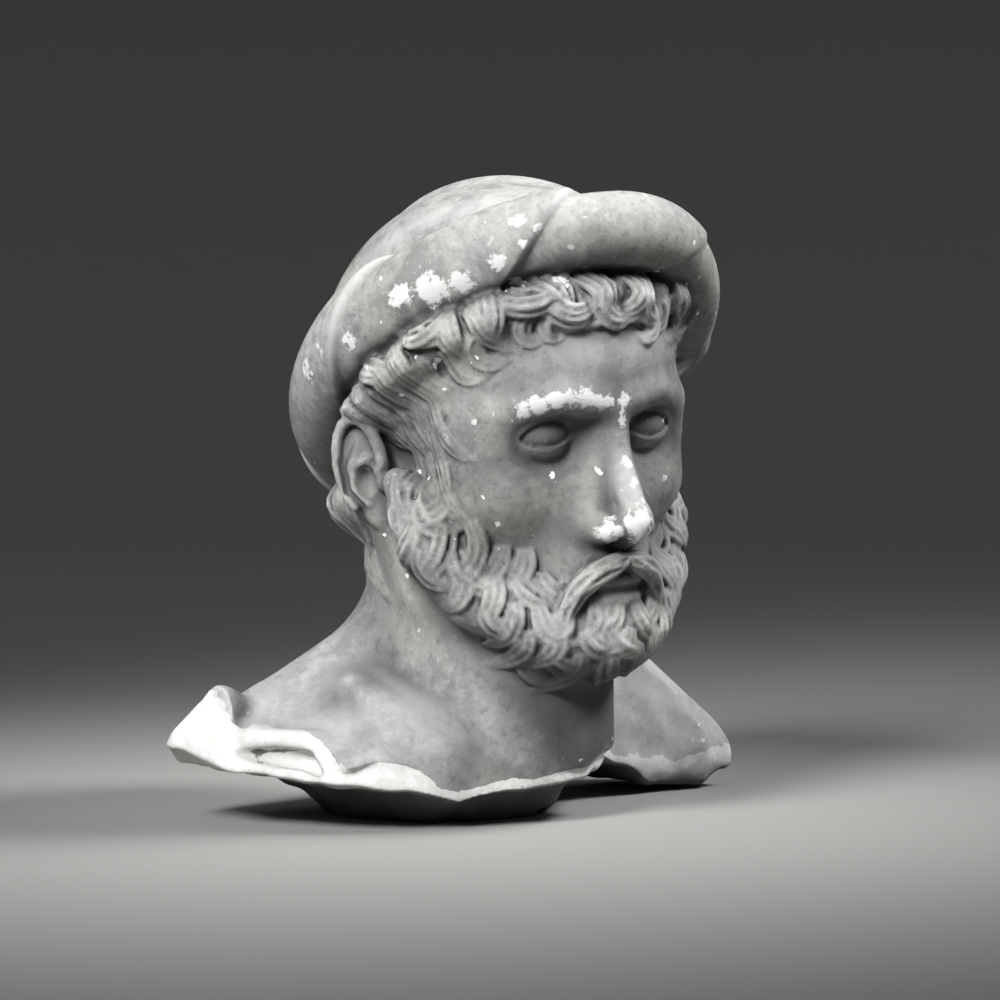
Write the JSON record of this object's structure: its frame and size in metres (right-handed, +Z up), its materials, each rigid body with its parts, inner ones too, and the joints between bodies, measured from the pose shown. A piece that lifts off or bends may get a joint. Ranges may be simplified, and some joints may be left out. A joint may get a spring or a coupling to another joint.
{
  "type": "portrait bust",
  "caption": "Marble head of a bearded man in a wound cloth cap, broken off across the shoulders and standing on a flat bed under the neck.",
  "frame": {"origin": "on the flat bed under the neck, plumb below the middle of the head", "axes": "+Z up, the face looks towards -Y, +X towards the subject's left"},
  "size_m": [0.3282, 0.2277, 0.3187],
  "materials": {
    "marble": "weathered marble, matt, with a grey skin over the carving and paler stone in the breaks"
  },
  "bodies": {
    "root": {"bust": "marble"}
  },
  "joints": []
}
